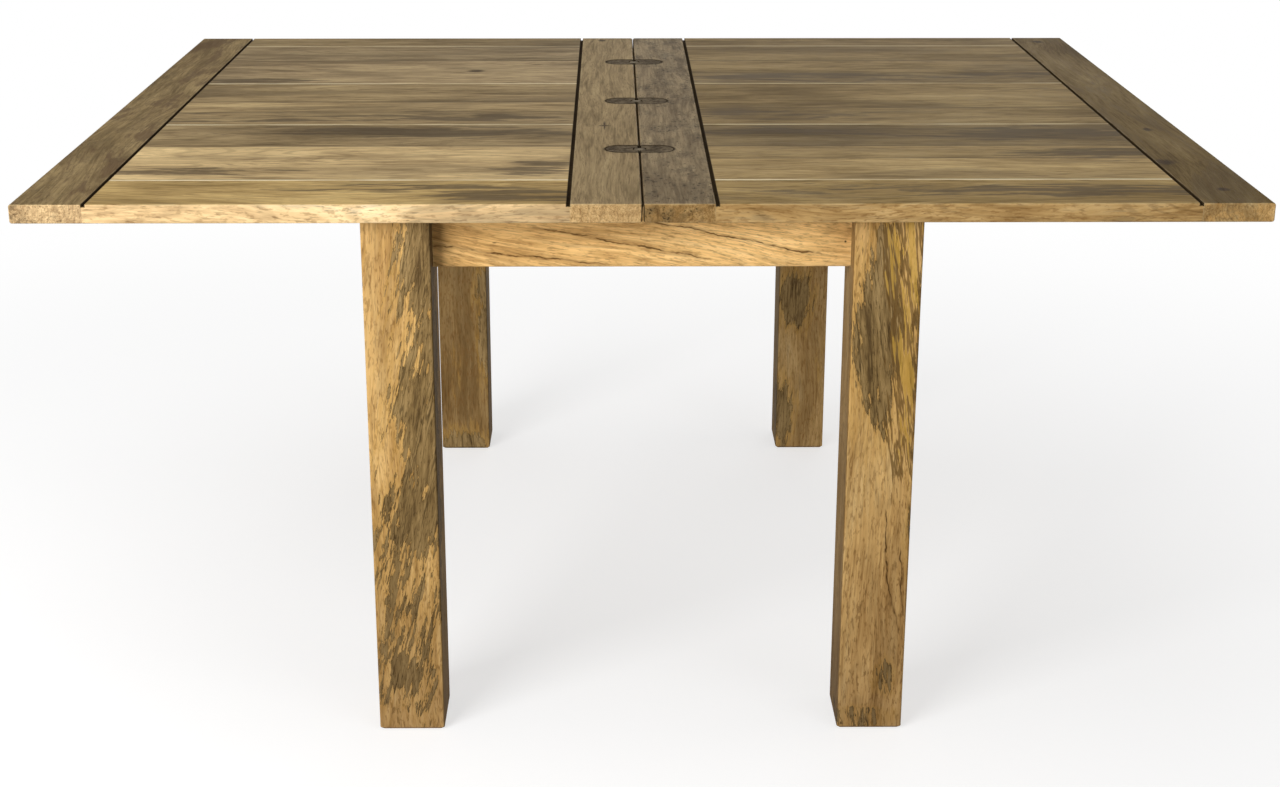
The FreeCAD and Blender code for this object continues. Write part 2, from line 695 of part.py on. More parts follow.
def corners(name, source):
    """The four corner pieces made from the one at the back on the right."""
    front_right = mirror(f"{name}_front_right", source, along_y)
    return {
        "back_right": source,
        "front_right": front_right,
        "back_left": mirror(f"{name}_back_left", source, along_x),
        "front_left": mirror(f"{name}_front_left", front_right, along_x),
    }


for corner_name, piece in corners("leg", back_right_leg).items():
    keep(piece, f"leg_{corner_name}")
for corner_name, piece in corners("block", back_right_block).items():
    keep(piece, f"corner_block_{corner_name}")
for label, pieces in (("leg_bolts", bolts), ("leg_washers", washers), ("leg_nuts", nuts),
                      ("corner_block_screws", block_screws), ("glide_pads", [corner_pad])):
    copies = corners(label, group(f"{label}_one_corner", pieces))
    keep(group(f"{label}_all", list(copies.values())), label)
all_screw_holes = list(corners("screw_holes", corner_screw_holes).values())

# Guide rails, housed in the side aprons
rail_blank = doc.addObject("PartDesign::Body", "rail_blank")
rail_section = new_sketch(rail_blank, "YZ_Plane", "rail_section")
rail_low = f"({frame_top} - sizes.rail_height)"
groove_floor = f"{rail_inside} + sizes.slide_tongue_length"
outline(rail_section, [
    (rail_inside, rail_low),
    (f"{rail_inside} + sizes.rail_width", rail_low),
    (f"{rail_inside} + sizes.rail_width", frame_top),
    (rail_inside, frame_top),
    (rail_inside, f"{tongue_high} + sizes.slide_clearance"),
    (groove_floor, f"{tongue_high} + sizes.slide_clearance"),
    (groove_floor, f"{tongue_low} - sizes.slide_clearance"),
    (rail_inside, f"{tongue_low} - sizes.slide_clearance"),
])
pad(rail_blank, rail_section, "rail_length", f"2 * ({inner_x} + sizes.rail_housing)")
place(rail_blank, f"-({inner_x} + sizes.rail_housing)", "0", "0")
keep(rail_blank, "guide_rail_back")
keep(mirror("front_rail_guide", rail_blank, along_y), "guide_rail_front")

# Aprons between the legs
apron_low = f"({frame_top} - sizes.apron_height)"


def lower_edges(bounds):
    """Long lower edges of an apron."""
    reach = max(bounds.XLength, bounds.YLength)
    return close(bounds.ZMax, worth(apron_low)) and reach > worth("2 * sizes.apron_thickness")


back_blank = doc.addObject("PartDesign::Body", "back_apron_blank")
back_section = new_sketch(back_blank, "YZ_Plane", "back_apron_section")
rectangle(back_section, inner_y, f"{inner_y} + sizes.apron_thickness", apron_low, frame_top)
back_length = f"({frame_width} - 2 * sizes.leg_width)"
back_feature = pad(back_blank, back_section, "back_apron_length", back_length)
dress(back_blank, "Chamfer", back_feature, "back_apron_bevel", lower_edges, "apron_bevel")
place(back_blank, f"-{back_length} / 2", "0", "0")
back_apron = keep(cut("back_apron", back_blank, all_screw_holes), "apron_back")
keep(mirror("front_apron", back_apron, along_y), "apron_front")

side_blank = doc.addObject("PartDesign::Body", "side_apron_blank")
side_section = new_sketch(side_blank, "XZ_Plane", "side_apron_section")
rectangle(side_section, inner_x, f"{inner_x} + sizes.apron_thickness", apron_low, frame_top)
side_length = f"({frame_depth} - 2 * sizes.leg_width)"
side_feature = pad(side_blank, side_section, "side_apron_length", side_length)
dress(side_blank, "Chamfer", side_feature, "side_apron_bevel", lower_edges, "apron_bevel")
housing = new_sketch(side_blank, "XY_Plane", "side_apron_housing", frame_top)
for sign in ("", "-"):
    edges = [f"{sign}({rail_inside}) - {side_length} / 2",
             f"{sign}({rail_inside} + sizes.rail_width) - {side_length} / 2"]
    rectangle(housing, inner_x, f"{inner_x} + sizes.rail_housing", *edges)
pocket(side_blank, housing, "side_apron_housings", "sizes.rail_height")
place(side_blank, "0", f"{side_length} / 2", "0")
right_apron = keep(cut("right_apron", side_blank, all_screw_holes), "apron_right")
keep(mirror("left_apron", right_apron, along_x), "apron_left")

doc.recompute()
for piece in doc.Objects:
    if "Invalid" in piece.State or "Error" in piece.State:
        raise RuntimeError(f"{piece.Label} did not build")
for piece in subparts:
    if piece.Shape.isNull() or not piece.Shape.isValid():
        raise RuntimeError(f"{piece.Label} has no valid shape")
    piece.Shape.exportStep(f"parts/{piece.Label}.step")
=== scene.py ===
import math

import bmesh
import bpy
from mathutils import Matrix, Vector


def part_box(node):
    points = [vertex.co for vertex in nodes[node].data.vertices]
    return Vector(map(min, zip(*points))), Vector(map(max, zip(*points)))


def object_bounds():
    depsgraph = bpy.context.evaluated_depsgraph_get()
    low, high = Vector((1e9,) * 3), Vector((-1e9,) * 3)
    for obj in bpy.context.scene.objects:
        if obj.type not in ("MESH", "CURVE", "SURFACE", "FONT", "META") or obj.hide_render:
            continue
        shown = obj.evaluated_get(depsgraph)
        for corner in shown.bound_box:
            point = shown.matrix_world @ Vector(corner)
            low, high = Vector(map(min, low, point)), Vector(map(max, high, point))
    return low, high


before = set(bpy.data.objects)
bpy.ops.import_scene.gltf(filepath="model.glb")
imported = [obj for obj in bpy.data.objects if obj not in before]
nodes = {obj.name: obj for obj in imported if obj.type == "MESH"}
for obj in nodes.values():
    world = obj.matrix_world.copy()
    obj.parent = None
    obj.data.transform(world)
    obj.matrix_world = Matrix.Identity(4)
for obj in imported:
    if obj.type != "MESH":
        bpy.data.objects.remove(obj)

cad_low, cad_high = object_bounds()

# Levels and places of the table that several finishes refer to, in metres
top_level = cad_high.z
board_thickness = 0.025
leg_side = 0.09
leg_top = top_level - board_thickness
frame_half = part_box("leg_front_right")[1].x
front_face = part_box("leg_front_left")[0].y
back_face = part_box("leg_back_left")[0].y
plate_low, plate_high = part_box("right_hinge_plate_middle")
plate_half = (plate_high.y - plate_low.y) / 2
plate_place = (plate_high.y + plate_low.y) / 2
hinge_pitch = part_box("right_hinge_plate_back")[0].y - plate_low.y
groove_width = 0.004
groove_depth = 0.004
inner_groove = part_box("right_hinge_stile")[1].x + groove_width / 2
outer_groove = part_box("right_outer_stile")[0].x - groove_width / 2

# How deep marks reach into the wood, and how wide a worn arris is
stain_depth = 0.03
knot_depth = 0.015
apron_knot_depth = 0.01
leg_mark_depth = 0.06
arris_width = 0.003

# Where dust and painted shade lie on a leaf: each pair runs from the place with none to the place with
# most. The grooves hold dust and painted shade, the gap between the leaves painted shade, and the hinge
# plates a painted shadow round them
dust_and_shade_begins = (0.0006, 0.0018)
dust_and_shade_ends = (0.008, 0.0045)
dust_and_shade_beside_groove = (groove_width / 2 + 0.0012, groove_width / 2 + 0.0005)
shade_along_gap = (0.0020, 0.0013)
shade_on_gap_end = (0.0028, 0.0018)
shadow_round_plate = (0.0050, 0.0015)
shadow_beside_plate = (0.010, 0.008)

# The outer edges of the top stay free of the dust and painted shade over this width
bare_edge = 0.0038

# A pale line in a seam between two boards, from none to most: its width on the board and its depth
pale_line_width = (0.0058, 0.0034)
pale_line_level = (0.002, 0.001)

# Which way a piece is turned so that its grain runs along the pattern's first axis
grain_turn = {"x": (0, 0, 0), "y": (0, 0, -90), "z": (0, 90, 0)}

# Tones of the wood from dark to pale, each a place on the ladder and its red, green and blue
golden_tones = (
    (0.0, 120, 90, 50),
    (0.3, 160, 125, 76),
    (0.55, 191, 155, 100),
    (0.8, 210, 176, 121),
    (1.0, 226, 197, 146),
)
# Tones of the upper face: partly weathering, partly a painted sheen that greys them
weathered_and_sheen_tones = (
    (0.0, 82, 68, 46),
    (0.3, 116, 98, 68),
    (0.55, 146, 125, 89),
    (0.8, 167, 145, 104),
    (1.0, 188, 166, 123),
)

# How red, green and blue change where the wood is paler, and where it is greyer
pale_cast = (22, 30, 42)
grey_cast = (-9, -4, 9)

# Smoky stains: their colours on the frame and the boards, and their waves to the metre along each axis
frame_smoke = (66, 54, 39)
board_smoke = (70, 58, 41)
smoke_run = (2.6, 13.0, 13.0)


def shade(red, green, blue, lift=1.0):
    """A colour given in screen values from 0 to 255, as the shader wants it."""
    def linear(value):
        part = value / 255.0
        return part / 12.92 if part <= 0.04045 else ((part + 0.055) / 1.055) ** 2.4
    return (linear(red) * lift, linear(green) * lift, linear(blue) * lift, 1.0)


def tones(ladder, cast, amount, lift):
    """The steps of a ladder of tones, moved by an amount of a colour cast and lifted."""
    steps = []
    for position, *tone in ladder:
        moved = [part + shift * amount for part, shift in zip(tone, cast)]
        steps.append((position, shade(*moved, lift)))
    return steps


class Finish:
    """One material, with short ways of adding its nodes."""

    def __init__(self, name):
        self.material = bpy.data.materials.new(name)
        self.material.use_nodes = True
        self.tree = self.material.node_tree
        self.shader = self.tree.nodes["Principled BSDF"]
        place = self.add("ShaderNodeTexCoord")
        self.place = place.outputs["Object"]
        self.normal = place.outputs["Normal"]

    def add(self, kind):
        return self.tree.nodes.new(kind)

    def put(self, value, target):
        """Links a value that varies, and sets one that is the same all over."""
        if isinstance(value, bpy.types.NodeSocket):
            self.tree.links.new(value, target)
        else:
            target.default_value = value

    def sum(self, kind, first, second=0.0, third=0.0):
        """One step of arithmetic."""
        step = self.add("ShaderNodeMath")
        step.operation = kind
        for value, target in zip((first, second, third), step.inputs):
            self.put(value, target)
        return step.outputs[0]

    def times(self, first, second):
        return self.sum("MULTIPLY", first, second)

    def less(self, first, second):
        return self.sum("SUBTRACT", first, second)

    def larger(self, first, second):
        return self.sum("MAXIMUM", first, second)

    def smaller(self, first, second):
        return self.sum("MINIMUM", first, second)

    def size(self, value):
        return self.sum("ABSOLUTE", value)

    def apart(self, first, second):
        """How far one value is from another."""
        return self.size(self.less(first, second))

    def vector(self, kind, first, second=(0.0, 0.0, 0.0), third=(0.0, 0.0, 0.0)):
        """One step of arithmetic with places or directions."""
        step = self.add("ShaderNodeVectorMath")
        step.operation = kind
        for value, target in zip((first, second, third), step.inputs):
            self.put(value, target)
        return step.outputs["Value"] if kind == "LENGTH" else step.outputs["Vector"]

    def split(self, value):
        step = self.add("ShaderNodeSeparateXYZ")
        self.put(value, step.inputs[0])
        return step.outputs

    def join(self, *parts):
        step = self.add("ShaderNodeCombineXYZ")
        for part, target in zip(parts, step.inputs):
            self.put(part, target)
        return step.outputs[0]

    def turned(self, place, turn, shift):
        """A place turned by some degrees about each axis, and shifted."""
        step = self.add("ShaderNodeMapping")
        self.put(place, step.inputs["Vector"])
        step.inputs["Rotation"].default_value = [math.radians(angle) for angle in turn]
        step.inputs["Location"].default_value = shift
        return step.outputs[0]

    def noise(self, place, stretch, detail=3.0, rough=0.55, twist=0.0, colour=False):
        """An uneven pattern, with so many waves to the metre along each axis."""
        step = self.add("ShaderNodeTexNoise")
        step.inputs["Scale"].default_value = 1.0
        step.inputs["Detail"].default_value = detail
        step.inputs["Roughness"].default_value = rough
        step.inputs["Distortion"].default_value = twist
        self.put(self.vector("MULTIPLY", place, stretch), step.inputs["Vector"])
        return step.outputs["Color"] if colour else step.outputs[0]

    def sway(self, value, amount, base):
        """Adds a noise to another value, counted from the noise's middle."""
        return self.sum("MULTIPLY_ADD", self.less(value, 0.5), amount, base)

    def ease(self, value, low, high, least=0.0, most=1.0):
        """Goes softly from least, at the low value, to most, at the high one."""
        step = self.add("ShaderNodeMapRange")
        step.interpolation_type = "SMOOTHSTEP"
        for part, target in zip((value, low, high, least, most), step.inputs):
            self.put(part, target)
        return step.outputs[0]

    def scale(self, value, low, high, least=0.0, most=1.0):
        """Goes evenly from least, at the low value, to most, at the high one."""
        step = self.add("ShaderNodeMapRange")
        for part, target in zip((value, low, high, least, most), step.inputs):
            self.put(part, target)
        return step.outputs[0]

    def tint(self, factor, first, second, kind="MIX"):
        step = self.add("ShaderNodeMix")
        step.data_type = "RGBA"
        step.blend_type = kind
        self.put(factor, step.inputs["Factor"])
        self.put(first, step.inputs["A"])
        self.put(second, step.inputs["B"])
        return step.outputs["Result"]

    def ladder(self, factor, stops):
        """Colours from the first stop to the last."""
        step = self.add("ShaderNodeValToRGB")
        ramp = step.color_ramp
        ramp.elements[0].position, ramp.elements[0].color = stops[0]
        ramp.elements[1].position, ramp.elements[1].color = stops[-1]
        for position, colour in stops[1:-1]:
            ramp.elements.new(position).color = colour
        self.put(factor, step.inputs[0])
        return step.outputs[0]

    def relief(self, height, strength, distance):
        step = self.add("ShaderNodeBump")
        step.inputs["Strength"].default_value = strength
        step.inputs["Distance"].default_value = distance
        self.put(height, step.inputs["Height"])
        self.put(step.outputs[0], self.shader.inputs["Normal"])

    def nearest(self, blobs):
        """Nought at the centres of some egg shapes and one on their skins."""
        found = None
        for centre, radius in blobs:
            away = self.vector("DIVIDE", self.vector("SUBTRACT", self.place, centre), radius)
            reach = self.vector("LENGTH", away)
            found = reach if found is None else self.sum("SMOOTH_MIN", found, reach, 0.25)
        return found


class Timber(Finish):
    """Waxed mango wood for one piece, with its own run of grain."""

    def __init__(self, name, grain, seed, calm=1.0, joints=(), lines=0.75, lean=0.0):
        super().__init__(name)
        self.low, self.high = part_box(name)
        self.grain = grain
        self.seed = seed
        self.x, self.y, self.z = self.split(self.place)
        self.facing = self.split(self.normal)
        self.upward = self.ease(self.facing[2], 0.45, 0.9)
        self.dust_and_shade = 0.0

        # The pattern starts anew at each glued joint inside a board, and sways along the grain
        roll, pitch, yaw = grain_turn[grain]
        start = (seed * 1.37, seed * 0.61, seed * 0.43)
        self.own = self.turned(self.place, (roll, pitch + lean, yaw), start)
        for joint, _ in joints:
            beyond = self.sum("GREATER_THAN", self.y, joint)
            jump = self.vector("MULTIPLY", self.join(beyond, beyond, beyond), (1.9, 0.37, 0.0))
            self.own = self.vector("ADD", self.own, jump)
        drift = self.noise(self.own, (1.6, 5.0, 5.0), detail=2.0, colour=True)
        drift = self.vector("SUBTRACT", drift, (0.5, 0.5, 0.5))
        self.bent = self.vector("MULTIPLY_ADD", drift, (0.0, 0.08, 0.08), self.own)

        # Broad figure, clouds, streaks and single fibres, mixed to one value from dark to pale
        self.figure = self.noise(self.bent, (4.0, 18.0, 18.0), detail=5.0, rough=0.6, twist=0.3)
        self.streak = self.noise(self.bent, (8.0, 85.0, 85.0), detail=4.0, rough=0.62, twist=0.2)
        self.fibre = self.noise(self.bent, (13.0, 300.0, 300.0), rough=0.65)
        cloud = self.noise(self.bent, (2.2, 4.0, 4.0), detail=2.0)
        smooth = self.noise(self.bent, (1.1, 13.0, 13.0), detail=1.5, rough=0.5, twist=0.2)
        self.ring = self.ease(self.sum("SINE", self.times(smooth, 170.0)), 0.35, 1.0)
        blend = self.sway(self.figure, 0.95 * calm, 0.5)
        blend = self.sway(cloud, 0.70 * calm, blend)
        blend = self.sway(self.streak, lines, blend)
        self.blend = self.sway(self.fibre, 0.85, blend)

    def paint(self, factor, colour, kind="MIX"):
        """Another coat over what is there."""
        self.colour = self.tint(factor, self.colour, colour, kind)

    def golden(self, lift, pale=0.0):
        """Freshly planed sides, from brown late wood to pale gold."""
        self.colour = self.ladder(self.blend, tones(golden_tones, pale_cast, pale, lift))

    def plain_underside(self, lift=0.95):
        """The face beneath, of one golden tone on every board."""
        downward = self.ease(self.facing[2], -0.45, -0.9)
        self.paint(downward, self.ladder(self.blend, tones(golden_tones, pale_cast, 0.0, lift)))

    def weathered_and_sheen(self, lift, grey, joints):
        """The upper face, browner and greyer than the sides: partly weathering, partly a painted sheen, as
        the top reflects the white room at a low angle; with the joints inside a board.
        """
        self.paint(self.upward, self.ladder(self.blend, tones(weathered_and_sheen_tones, grey_cast, grey, lift)))
        for joint, change in joints:
            beyond = self.times(self.sum("GREATER_THAN", self.y, joint), self.upward)
            self.paint(beyond, (change, change, change, 1.0), "MULTIPLY")
            line = self.ease(self.apart(self.y, joint), 0.005, 0.0015, most=0.45)
            self.paint(self.times(line, self.upward), shade(72, 60, 42))

    def smoke(self, amount, colour, drifts=(), run=smoke_run):
        """Smoky stain in long pointed drifts that fray into single fibres."""
        wisp = self.noise(self.bent, run, detail=4.0, twist=0.6)
        thread = self.sway(self.fibre, 0.30, self.sway(self.streak, 0.55, wisp))
        stain = self.ease(thread, 0.52, 0.63, most=amount)
        if drifts:
            reach = self.sway(wisp, -2.4, self.larger(self.nearest(drifts), 0.55))
            reach = self.sway(self.fibre, -1.2, self.sway(self.streak, -4.2, reach))
            stain = self.larger(stain, self.ease(reach, 1.1, 0.55, most=0.80))
        self.paint(stain, shade(*colour))

    def spalted(self, patches, stripes, slant, loose, fray):
        """Dark spalted patches with frayed ends, thinly outlined and bordered by yellow wood."""
        skew = self.turned(self.place, (0, slant, 0), (self.seed, 0, 0))
        finger = self.noise(skew, (52.0, 52.0, 8.0), rough=0.6, twist=0.2)
        fringe = self.noise(skew, (190.0, 190.0, 26.0), detail=4.0, rough=0.64, twist=0.2)
        reach = self.nearest(patches)
        if stripes:
            reach = self.smaller(reach, self.larger(self.nearest(stripes), 1.07))
        field = self.noise(self.own, (3.6, 13.0, 13.0), twist=0.4)
        reach = self.smaller(reach, self.scale(field, 0.5, 0.5 + 0.2 / loose, 2.2, 0.6))
        reach = self.sway(finger, -1.6 * fray, reach)
        reach = self.sway(self.fibre, -0.7, self.sway(fringe, -2.4 * fray, reach))
        patch = self.ease(reach, 1.04, 0.94, most=0.95)
        rim = self.ease(reach, 1.7, 1.1, most=0.32)
        vein = self.noise(skew, (48.0, 48.0, 6.0), detail=5.0, rough=0.68, twist=0.4)
        depth = self.sway(vein, 2.0, self.sway(fringe, 1.4, self.sway(self.fibre, 1.5, 0.5)))
        inner = self.ladder(depth, [
            (0.0, shade(86, 68, 43)),
            (0.45, shade(142, 117, 76)),
            (1.0, shade(174, 146, 99)),
        ])
        self.paint(rim, shade(206, 160, 80))
        self.paint(patch, inner)
        speck = self.ease(self.noise(skew, (330.0, 330.0, 90.0), rough=0.65), 0.54, 0.68, most=0.55)
        self.paint(self.times(speck, patch), shade(66, 50, 29))
        outline = self.ease(self.apart(reach, 0.95), 0.075, 0.02, most=0.5)
        self.paint(outline, shade(70, 52, 29))
        course = self.noise(skew, (55.0, 55.0, 3.5), rough=0.6, twist=0.3)
        line = self.ease(self.apart(course, 0.5), 0.014, 0.004)
        within = self.ease(reach, 1.2, 0.95, most=0.55)
        self.paint(self.times(line, within), shade(48, 35, 20))

    def flamed(self, patches, slant):
        """Thin yellow licks among brown ones."""
        skew = self.turned(self.place, (0, slant, 0), (0, 0, 0))
        lick = self.noise(skew, (165.0, 165.0, 11.0), rough=0.6, twist=0.3)
        broad = self.noise(skew, (40.0, 40.0, 6.0), detail=2.0)
        reach = self.larger(self.nearest(patches), 0.92)
        reach = self.sway(lick, -5.0, self.sway(broad, -2.0, reach))
        brown = self.times(self.ease(reach, 0.74, 0.92), self.ease(reach, 1.5, 1.2, most=0.8))
        self.paint(brown, shade(112, 84, 44))
        self.paint(self.ease(reach, 0.80, 0.64, most=0.72), shade(200, 158, 70))

    def knotted(self, knots):
        """Small dark knots and pin marks."""
        ring = self.noise(self.bent, (40.0, 160.0, 160.0))
        knot = self.sway(ring, 1.6, self.nearest(knots))
        self.paint(self.ease(knot, 1.7, 0.5, most=0.9), shade(52, 39, 25))

    def cracked(self, amount):
        """A few thin dark shakes that cross the grain at a slant."""
        aslant = self.turned(self.own, (0, 0, 9), (3.1, 1.7, 0.4))
        course = self.noise(aslant, (2.2, 13.0, 13.0), detail=2.0, rough=0.5, twist=0.3)
        line = self.ease(self.apart(course, 0.5), 0.0045, 0.001)
        part = self.ease(self.noise(self.own, (5.0, 9.0, 9.0), detail=2.0), 0.53, 0.62, most=amount)
        self.paint(self.times(line, part), shade(74, 49, 25))

    def shaken(self, shakes, upright=False):
        """Long thin dark lines on a front face, from one end to the other."""
        run, across = (self.z, self.x) if upright else (self.x, self.z)
        wander = self.noise(self.place, (26.0, 26.0, 26.0), rough=0.6)
        thin = self.ease(self.noise(self.place, (60.0, 60.0, 60.0), detail=2.0), 0.35, 0.6, 0.2, 0.9)
        for start, level, end, end_level in shakes:
            along = self.scale(run, start, end)
            course = self.sway(wander, 0.014, self.scale(along, 0.0, 1.0, level, end_level))
            away = self.apart(across, course)
            part = self.times(self.ease(along, 0.0, 0.08), self.ease(along, 1.0, 0.85))
            halo = self.times(self.ease(away, 0.005, 0.0, most=0.30), part)
            self.paint(halo, shade(132, 92, 46))
            line = self.times(self.ease(away, 0.0013, 0.0005), thin)
            self.paint(self.times(line, part), shade(78, 52, 26))

    def shade_inner_side(self, amount):
        """Painted shade: the side that faces the other leg is made darker, as it gets less light."""
        inward = -1.0 if self.low.x > 0.0 else 1.0
        side = self.ease(self.times(self.facing[0], inward), 0.45, 0.9)
        self.paint(side, (amount, amount * 0.99, amount * 0.97, 1.0), "MULTIPLY")

    def shade_towards_foot(self):
        """Painted shade: a leg grows darker little by little towards the floor, as the light falls off
        downward.
        """
        height = self.sway(self.figure, 0.3, self.z)
        grey = self.ladder(self.scale(height, 0.0, leg_top), [
            (0.0, (0.47, 0.45, 0.45, 1.0)),
            (0.40, (0.71, 0.69, 0.65, 1.0)),
            (0.70, (0.83, 0.81, 0.76, 1.0)),
            (1.0, (1.0, 1.0, 1.0, 1.0)),
        ])
        self.paint(1.0, grey, "MULTIPLY")

    def speckled(self, amount):
        """Grey-brown mottling with dark specks."""
        mottle = self.noise(self.place, (34.0, 16.0, 34.0), detail=4.0, rough=0.65)
        self.paint(self.ease(mottle, 0.46, 0.62, most=0.40 * amount), shade(70, 60, 45))
        speck = self.noise(self.place, (170.0, 120.0, 170.0), detail=2.0, rough=0.6)
        speck = self.sway(mottle, 0.5, speck)
        self.paint(self.ease(speck, 0.60, 0.68, most=0.8 * amount), shade(56, 45, 30))

    def ringed(self, amount):
        """Thin dark lines of the year rings, here and there."""
        part = self.noise(self.own, (2.0, 9.0, 9.0), detail=2.0)
        part = self.ease(part, 0.44, 0.60, 0.15, amount)
        self.paint(self.times(self.ring, part), shade(88, 66, 40))

    def flecked(self, amount):
        """Short brown flecks that lie along the grain."""
        fleck = self.noise(self.bent, (80.0, 320.0, 320.0), detail=2.0, rough=0.6)
        part = self.noise(self.own, (5.0, 12.0, 12.0), detail=2.0)
        part = self.ease(part, 0.38, 0.62, 0.35, amount)
        self.paint(self.times(self.ease(fleck, 0.52, 0.66), part), shade(122, 84, 42))

    def pores(self):
        """Open pores, as short dark dashes."""
        self.pore = self.ease(self.noise(self.bent, (46.0, 600.0, 600.0), detail=1.0), 0.59, 0.70)
        self.paint(self.times(self.pore, 0.36), shade(78, 56, 30))

    def end_grain(self, amount):
        """End grain drinks the wax: it is darker, with upright streaks of the year rings."""
        end = self.ease(self.size(self.facing["xyz".index(self.grain)]), 0.6, 0.9)
        self.paint(end, (amount, amount * 0.97, amount * 0.92, 1.0), "MULTIPLY")
        ring = self.noise(self.place, (150.0, 150.0, 24.0), detail=4.0, rough=0.65, twist=0.5)
        ring = self.ease(ring, 0.50, 0.64, most=1.2 - 1.1 * amount)
        self.paint(self.times(end, ring), shade(74, 52, 28))

    def rubbed(self, amount):
        """Pale, chafed arrises."""
        centre = (self.low + self.high) / 2
        half = (self.high - self.low) / 2
        away = self.split(self.vector("ABSOLUTE", self.vector("SUBTRACT", self.place, centre)))
        arris = -1.0
        for part, reach in zip(away, half):
            arris = self.sum("ADD", self.scale(part, reach - arris_width, reach), arris)
        chafe = self.noise(self.place, (26.0, 26.0, 26.0), detail=4.0, rough=0.65)
        chafe = self.ease(chafe, 0.42, 0.60)
        arris = self.ease(arris, 0.15, 0.8, most=amount)
        self.paint(self.times(arris, chafe), shade(212, 186, 138))

    def pale_seam(self, amount):
        """A pale line along the front arris of a board, where it meets the next one."""
        outer, inner = pale_line_width
        lower, upper = pale_line_level
        seam = self.ease(self.y, self.low.y + outer, self.low.y + inner)
        level = self.ease(self.z, top_level - lower, top_level - upper)
        wear = self.noise(self.place, (6.0, 30.0, 30.0), detail=4.0, rough=0.65)
        wear = self.ease(wear, 0.36, 0.56, 0.35 * amount, amount)
        self.paint(self.times(self.times(seam, level), wear), shade(222, 208, 172))

    def dust_and_shade_in_hollows(self, hinged):
        """Dust and old wax with painted shade in the grooves, painted shade in the gap, and a painted
        shadow round the hinge plates.
        """
        depth = self.less(top_level, self.z)
        dust_and_shade = self.times(self.ease(depth, *dust_and_shade_begins), self.ease(depth, *dust_and_shade_ends))
        for place, reach in ((self.x, cad_high.x), (self.y, cad_high.y)):
            within = self.sum("LESS_THAN", self.size(place), reach - bare_edge)
            dust_and_shade = self.times(dust_and_shade, within)
        level = self.sum("LESS_THAN", depth, groove_depth)
        for groove in (inner_groove, outer_groove):
            beside = self.apart(self.size(self.x), groove)
            margin = self.ease(beside, *dust_and_shade_beside_groove)
            dust_and_shade = self.larger(dust_and_shade, self.times(margin, level))
        # Painted shade along the gap between the leaves and where it meets the end faces, and a painted
        # shadow in the fit round each hinge plate
        if hinged:
            aside = self.size(self.x)
            end = self.ease(self.size(self.facing[1]), 0.5, 0.8)
            line = self.times(self.ease(aside, *shade_along_gap), level)
            notch = self.times(self.ease(aside, *shade_on_gap_end), end)
            dust_and_shade = self.larger(dust_and_shade, self.larger(line, notch))
            beyond = self.larger(self.less(aside, plate_high.x - plate_half), 0.0)
            beside = self.less(self.y, plate_place)
            beside = self.sum("WRAP", beside, -hinge_pitch / 2, hinge_pitch / 2)
            away = self.less(self.vector("LENGTH", self.join(beyond, beside)), plate_half)
            rim = self.times(self.ease(away, *shadow_round_plate), self.ease(depth, *shadow_beside_plate))
            dust_and_shade = self.larger(dust_and_shade, rim)
        # The dark coat is dust in the grooves together with painted shade in the grooves, the gap and round
        # the plates
        self.paint(self.times(dust_and_shade, 0.93), shade(38, 28, 17))
        self.dust_and_shade = dust_and_shade

    def waxed(self):
        """The last coat: sheen, roughness and the relief of the grain."""
        self.put(self.colour, self.shader.inputs["Base Color"])
        dull = self.scale(self.blend, 0.0, 1.0, 0.74, 0.60)
        self.put(self.larger(dull, self.dust_and_shade), self.shader.inputs["Roughness"])
        self.shader.inputs["Specular IOR Level"].default_value = 0.04
        height = self.sum("MULTIPLY_ADD", self.fibre, 0.6, self.times(self.figure, 0.5))
        height = self.sum("MULTIPLY_ADD", self.pore, -0.45, height)
        self.relief(height, 0.35, 0.0008)
        return self.material


def bronzed_iron(name, bright, dull):
    """Dark bronzed iron with a mottled, rubbed skin."""
    iron = Finish(name)
    mottle = iron.noise(iron.place, (210.0, 210.0, 210.0), detail=4.0, rough=0.65)
    broad = iron.noise(iron.place, (60.0, 60.0, 60.0), detail=2.0)
    blend = iron.sum("MULTIPLY_ADD", mottle, 0.6, iron.times(broad, 0.4))
    blend = iron.scale(blend, 0.38, 0.64)
    iron.put(iron.ladder(blend, [(0.0, dull), (1.0, bright)]), iron.shader.inputs["Base Color"])
    iron.put(iron.scale(blend, 0.0, 1.0, 0.78, 0.62), iron.shader.inputs["Roughness"])
    iron.shader.inputs["Metallic"].default_value = 0.35
    iron.shader.inputs["Specular IOR Level"].default_value = 0.05
    iron.shader.inputs["Specular Tint"].default_value = (0.35, 0.31, 0.26, 1.0)
    iron.relief(mottle, 0.5, 0.0006)
    return iron.material


def zinc_plate(name):
    """Bright zinc with a cloudy yellow cast."""
    zinc = Finish(name)
    cloud = zinc.noise(zinc.place, (140.0, 140.0, 140.0), detail=4.0, rough=0.6)
    spangle = zinc.ladder(zinc.scale(cloud, 0.35, 0.65), [
        (0.0, shade(128, 122, 108)),
        (0.6, shade(176, 172, 160)),
        (1.0, shade(205, 203, 196)),
    ])
    zinc.put(spangle, zinc.shader.inputs["Base Color"])
    zinc.put(zinc.scale(cloud, 0.35, 0.65, 0.48, 0.30), zinc.shader.inputs["Roughness"])
    zinc.shader.inputs["Metallic"].default_value = 0.9
    zinc.relief(cloud, 0.12, 0.0003)
    return zinc.material


